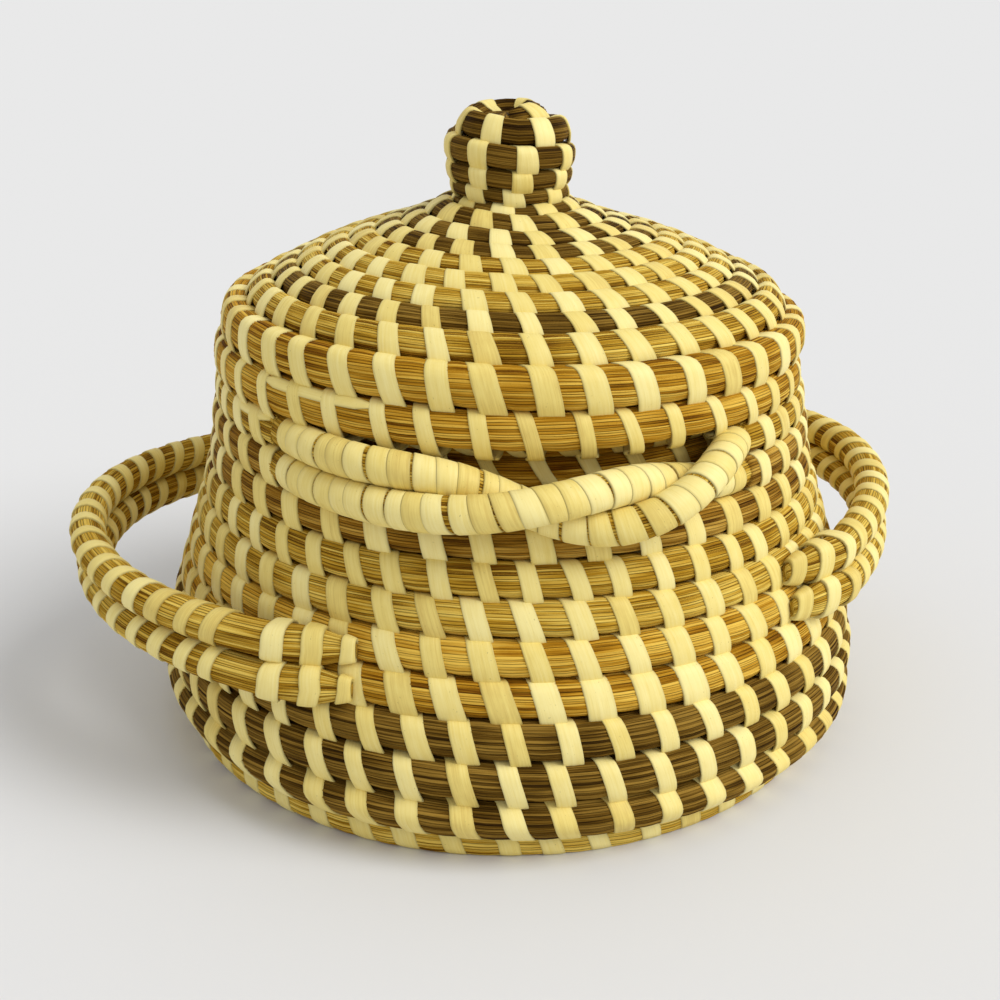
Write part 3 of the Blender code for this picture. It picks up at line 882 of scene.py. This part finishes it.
def bundle_piece(
    node, body, run, low, high, places, lean, width_at, look,
    pale_shares=EVEN_PALE_SHARES, spacing=RING_SPACING, pressed=True,
):
    """One node of the part as its grass and its strips."""
    piece = grass(
        f"{node}_grass", run, low, high, places, lean, look.grass, pale_shares, spacing, pressed,
    )
    inside = (places >= low) & (places < high)
    strip = None
    if inside.any():
        middles = places[inside]
        travels = np.interp(middles, places[:-1], np.diff(places))
        widths = [width_at(float(turn)) for turn in np.interp(middles, run.length, run.turn)]
        strip = strips(f"{node}_strips", run, middles, widths, lean, travels, look.strip, pressed)
    dress((piece, strip, node), body)


def laid_strip(name, body, run, low, high, places, look):
    """A flat strip that lies along a bundle, under the strips that sew it."""
    rings = int((high - low) / RING_SPACING) + 2
    lengths = np.linspace(low, high, rings)
    point, out, up, bundle, lean_at = along(run, lengths)
    across = np.linspace(0, 1, LAID_POINTS)
    across = np.concatenate((across, across[::-1]))
    lift = np.repeat((LAID_LIFT, -LAID_LIFT), LAID_POINTS)
    ends = (low, low + LAID_TAPER, high - LAID_TAPER, high)
    spread = LAID_WIDTH / (bundle / 2) * np.interp(lengths, ends, (LAID_END_SHARE, 1, 1, LAID_END_SHARE))
    angle = LAID_ANGLE + (across[None, :] - 0.5) * spread[:, None]
    from_lean = angle - lean_at[:, None]
    reach = (bundle / 2)[:, None] * squared(from_lean) * pinched(lengths, from_lean, places, STRIP_LEAN)
    reach = reach + lift[None, :]
    ring = points_round(point[:, None, :], out[:, None, :], up[:, None, :], angle, reach)
    across_next = np.roll(across, -1)
    laid = tube_object(name, ring, across, across_next, lengths, (low, high), run.facing < 0, look)
    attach(laid, body)


def handle_ties(node, run, look):
    """The strips that tie both ends of a handle's bundle to the wall: they dive into it above and below."""
    near = np.arange(HANDLE_FIRST_TIE, HANDLE_TIE_REACH - HANDLE_TIE_SPACING / 2, HANDLE_TIE_SPACING)
    middles = np.concatenate((near, run.length[-1] - near[::-1]))
    against_wall = run._replace(lean=np.zeros_like(run.lean))
    widths = [HANDLE_TIE_WIDTH] * len(middles)
    travels = [HANDLE_LEAN] * len(middles)
    ties = strips(f"{node}_ties", against_wall, middles, widths, HANDLE_LEAN, travels, look)
    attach(ties, "basket")


def stem_knot(name, middle, radius, low, high, look):
    """The end of a bundle that stands upright in the eye of a coil, rounded at its top."""
    size = 2 * STEMS
    share = np.linspace(0, 1, KNOT_RINGS)
    height = low + (high - low) * np.minimum(1, share / KNOT_SIDE_SHARE)
    domed = np.maximum(share - KNOT_SIDE_SHARE, 0) / (1 - KNOT_SIDE_SHARE)
    reach = radius * np.sqrt(np.maximum(1 - domed ** 2, KNOT_TIP_SHARE ** 2))
    height = height + KNOT_DOME * domed
    angle = np.arange(size) * TURN / size
    groove = np.where(np.arange(size) % 2, 1, 1 - STEM_GROOVE_SHARE)
    ring = np.stack((
        middle[0] + np.outer(reach, groove * np.sin(angle)),
        middle[1] + np.outer(reach, groove * np.cos(angle)),
        np.broadcast_to(height[:, None], (KNOT_RINGS, size)),
    ), -1)
    stem = np.arange(size) / 2
    return tube_object(name, ring, stem, stem + 0.5, height, (0.0, 0.0), True, look)


def eye_knot(lid, look):
    """Fills the eye that the knob's last turn leaves open."""
    last = max(lid)
    edge = []
    for step in range(last - STEPS + 1, last + 1):
        edge.append(spot(-step / STEPS * TURN, lid[step].radius - lid[step].bundle / 2, 0))
    edge = np.array(edge)
    middle = edge.mean(0)
    radius = float(np.linalg.norm(edge - middle, axis=1).max())
    end = lid[last]
    low = end.height - end.bundle / 2
    high = end.height + EYE_KNOT_RISE
    return stem_knot("knob_eye_knot", middle, radius, low, high, look)


def body_value(turn, base_value, rows):
    """The value of the flat base, or the one of the row at a turn."""
    return base_value if turn < BASE_END_TURN else read_off(rows, max(turn, 0))


def lid_value(turn, rows):
    return read_off(rows, max(turn, 0))


def add_basket_coils(body, run, places, looks):
    front_right, front_left = twist_roots(0)
    back_right, back_left = twist_roots(BACK_TWIST_TURN)
    coils = (
        ("base_coil", min(body) / STEPS, BASE_END_TURN, "golden_grass"),
        ("foot_coil", BASE_END_TURN, FOOT_END_TURN, "golden_grass"),
        ("dark_belly_coil", FOOT_END_TURN, BELLY_END_TURN, "dark_grass"),
        ("handle_band_coil", BELLY_END_TURN, BAND_END_TURN, "amber_grass"),
        ("upper_wall_coil", BAND_END_TURN, UPPER_WALL_END_TURN, "golden_grass"),
        ("neck_coil", UPPER_WALL_END_TURN, NECK_END_TURN, "russet_grass"),
        ("right_lower_rim_coil", NECK_END_TURN, front_right, "russet_grass"),
        ("left_lower_rim_coil", front_left, back_right, "russet_grass"),
        ("right_upper_rim_coil", back_left, front_right + 1, "golden_grass"),
        ("left_upper_rim_coil", front_left + 1, back_right + 1, "golden_grass"),
        ("rim_end_coil", back_left + 1, BODY_END_TURN, "golden_grass"),
    )
    for node, start, end, grass_name in coils:
        low, high = length_at(run, start), length_at(run, end)
        spacing = HIDDEN_RING_SPACING if node == "base_coil" else RING_SPACING
        bundle_piece(
            node, "basket", run, low, high, places, STRIP_LEAN,
            lambda turn: body_value(turn, BASE_WIDTH, BODY_WIDTHS),
            looks[grass_name], BODY_PALE_SHARES, spacing,
        )


def add_lid_coils(lid, knob_start, run, places, looks):
    collar_start = knob_start - COLLAR_TURNS
    cap_start = knob_start + KNOB_CAP_TURNS
    coils = (
        ("lid_edge_coil", LID_START_TURN, EDGE_ROWS_END_TURN, STRIP_LEAN, "amber_grass"),
        ("outer_crown_coil", EDGE_ROWS_END_TURN, OUTER_CROWN_END_TURN, STRIP_LEAN, "golden_grass"),
        ("dark_ring_coil", OUTER_CROWN_END_TURN, DARK_RING_END_TURN, CROWN_LEAN, "dark_grass"),
        ("inner_crown_coil", DARK_RING_END_TURN, collar_start, CROWN_LEAN, "golden_grass"),
        ("dark_collar_coil", collar_start, knob_start, CROWN_LEAN, "dark_grass"),
        ("knob_coil", knob_start, cap_start, KNOB_LEAN, "dark_grass"),
        ("knob_cap_coil", cap_start, max(lid) / STEPS, KNOB_LEAN, "dark_grass"),
    )
    for node, start, end, lean, grass_name in coils:
        low, high = length_at(run, start), length_at(run, end)
        bundle_piece(
            node, "lid", run, low, high, places, lean,
            lambda turn: lid_value(turn, LID_WIDTHS), looks[grass_name], LID_PALE_SHARES,
        )


def add_flange(run, places, look):
    bundle_piece(
        "lid_flange_coil", "lid", run, run.length[0], run.length[-1], places, STRIP_LEAN,
        lambda turn: FLANGE_WIDTH, look,
    )


def add_strands(body, look):
    """The two rim rows where they twist round each other, wrapped all over in strips."""
    for side, turns_back in (("front", 0), ("back", BACK_TWIST_TURN)):
        for level, upper in (("lower", False), ("upper", True)):
            run = twist_run(body, turns_back, upper)
            node = f"{side}_{level}_strand"
            places = strip_places(run, lambda share: wrap_spacing(node, share), WRAP_SPACING)
            places = places[places < run.length[-1] - WRAP_SPACING]
            bundle_piece(
                node, "basket", run, 0, run.length[-1], places, WRAP_LEAN,
                lambda turn: WRAP_WIDTH, look, pressed=False,
            )


def add_handles(body, look):
    for side, *sizes in (LEFT_HANDLE, RIGHT_HANDLE):
        for level, run in zip(("upper", "lower"), handle_runs(body, *sizes)):
            node = f"{side}_handle_{level}_coil"
            places = strip_places(run, lambda turn: HANDLE_SPACING, HANDLE_TIE_REACH)
            places = places[places < run.length[-1] - HANDLE_TIE_REACH]
            bundle_piece(
                node, "basket", run, 0, run.length[-1], places, HANDLE_LEAN,
                lambda turn: HANDLE_WIDTH, look, pressed=False,
            )
            handle_ties(node, run, look.strip)


def add_laid_strips(lid_run, lid_places, body_run, body_places, look):
    for name, rider, run, turns, places in (
        ("lid_laid_strip", "lid", lid_run, LID_LAID_TURNS, lid_places),
        ("rim_laid_strip", "basket", body_run, RIM_LAID_TURNS, body_places),
    ):
        low, high = (length_at(run, turn) for turn in turns)
        laid_strip(name, rider, run, low, high, places, look)


def add_knots(lid, looks):
    golden, dark = looks["golden_grass"], looks["dark_grass"]
    low_corner, high_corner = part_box("base_start_knot")
    radius = (high_corner.x - low_corner.x) / 2
    knot = stem_knot("base_start_knot_grass", (0, 0), radius, 0, high_corner.z, golden.grass)
    dress((knot, None, "base_start_knot"), "basket")
    dress((eye_knot(lid, dark.grass), None, None), "lid")


def direction(heading, elevation):
    return Vector(spot(heading, math.cos(elevation), math.sin(elevation)))


def add_camera():
    data = bpy.data.cameras.new("camera")
    data.sensor_width = SENSOR_WIDTH
    data.lens = FOCAL_SHARE * SENSOR_WIDTH
    data.shift_x = AXIS_SHIFT
    data.clip_start = CLIP_NEAR
    data.clip_end = CLIP_FAR
    camera = bpy.data.objects.new("camera", data)
    back = direction(CAMERA_HEADING, CAMERA_ELEVATION)
    camera.location = Vector((0, 0, AIM_HEIGHT)) + back * CAMERA_DISTANCE
    camera.rotation_euler = (-back).to_track_quat("-Z", "Y").to_euler()
    bpy.context.scene.collection.objects.link(camera)
    bpy.context.scene.camera = camera


def add_light():
    data = bpy.data.lights.new("key", "SUN")
    data.energy = SUN_STRENGTH
    data.angle = SUN_SPREAD
    sun = bpy.data.objects.new("key", data)
    sun.rotation_euler = direction(SUN_HEADING, SUN_ELEVATION).to_track_quat("Z", "Y").to_euler()
    bpy.context.scene.collection.objects.link(sun)
    world = bpy.data.worlds.new("sky")
    bpy.context.scene.world = world
    tree, add = node_tree(world)
    rays = add("ShaderNodeLightPath")
    seen = maths(add, "MAXIMUM", rays.outputs["Is Camera Ray"], rays.outputs["Is Glossy Ray"])
    light = tree.nodes["Background"]
    light.inputs["Color"].default_value = (1, 1, 1, 1)
    light.inputs["Strength"].default_value = SKY_STRENGTH
    backdrop = add("ShaderNodeBackground", {"Color": BACKDROP_COLOUR, "Strength": 1.0})
    both = add("ShaderNodeMixShader", {0: seen, 1: light.outputs[0], 2: backdrop.outputs[0]})
    tree.links.new(both.outputs[0], tree.nodes["World Output"].inputs["Surface"])


def add_floor():
    size = FLOOR_HALF_SIZE
    mesh = bpy.data.meshes.new("floor")
    corners = [(-size, -size, 0), (size, -size, 0), (size, size, 0), (-size, size, 0)]
    mesh.from_pydata(corners, [], [(0, 1, 2, 3)])
    material = bpy.data.materials.new("floor")
    material.use_nodes = True
    shader = material.node_tree.nodes["Principled BSDF"]
    shader.inputs["Base Color"].default_value = FLOOR_COLOUR
    shader.inputs["Roughness"].default_value = FLOOR_ROUGHNESS
    shader.inputs["Specular IOR Level"].default_value = 0.0
    mesh.materials.append(material)
    floor = bpy.data.objects.new("floor", mesh)
    bpy.context.scene.collection.objects.link(floor)


def main():
    for old in list(bpy.data.objects):
        bpy.data.objects.remove(old)
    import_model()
    bpy.context.scene.view_settings.view_transform = "Standard"
    looks = make_looks()
    body = wind_body()
    lid, knob_start = wind_lid(body)
    flange = wind_flange(lid)
    thin_end(body, max(body), -1)
    thin_end(lid, min(lid), 1)
    body_run, lid_run, flange_run = wound_run(body), wound_run(lid), wound_run(flange)
    body_places = strip_places(body_run, lambda turn: body_value(turn, BASE_SPACING, BODY_SPACINGS))
    lid_places = strip_places(lid_run, lambda turn: lid_value(turn, LID_SPACINGS))
    flange_places = strip_places(flange_run, lambda turn: FLANGE_SPACING)
    golden = looks["golden_grass"]
    add_basket_coils(body, body_run, body_places, looks)
    add_lid_coils(lid, knob_start, lid_run, lid_places, looks)
    add_flange(flange_run, flange_places, looks["amber_grass"])
    add_strands(body, golden._replace(slot="palm_strip"))
    add_handles(body, golden)
    add_laid_strips(lid_run, lid_places, body_run, body_places, golden.strip)
    add_knots(lid, looks)
    add_camera()
    add_light()
    add_floor()


main()
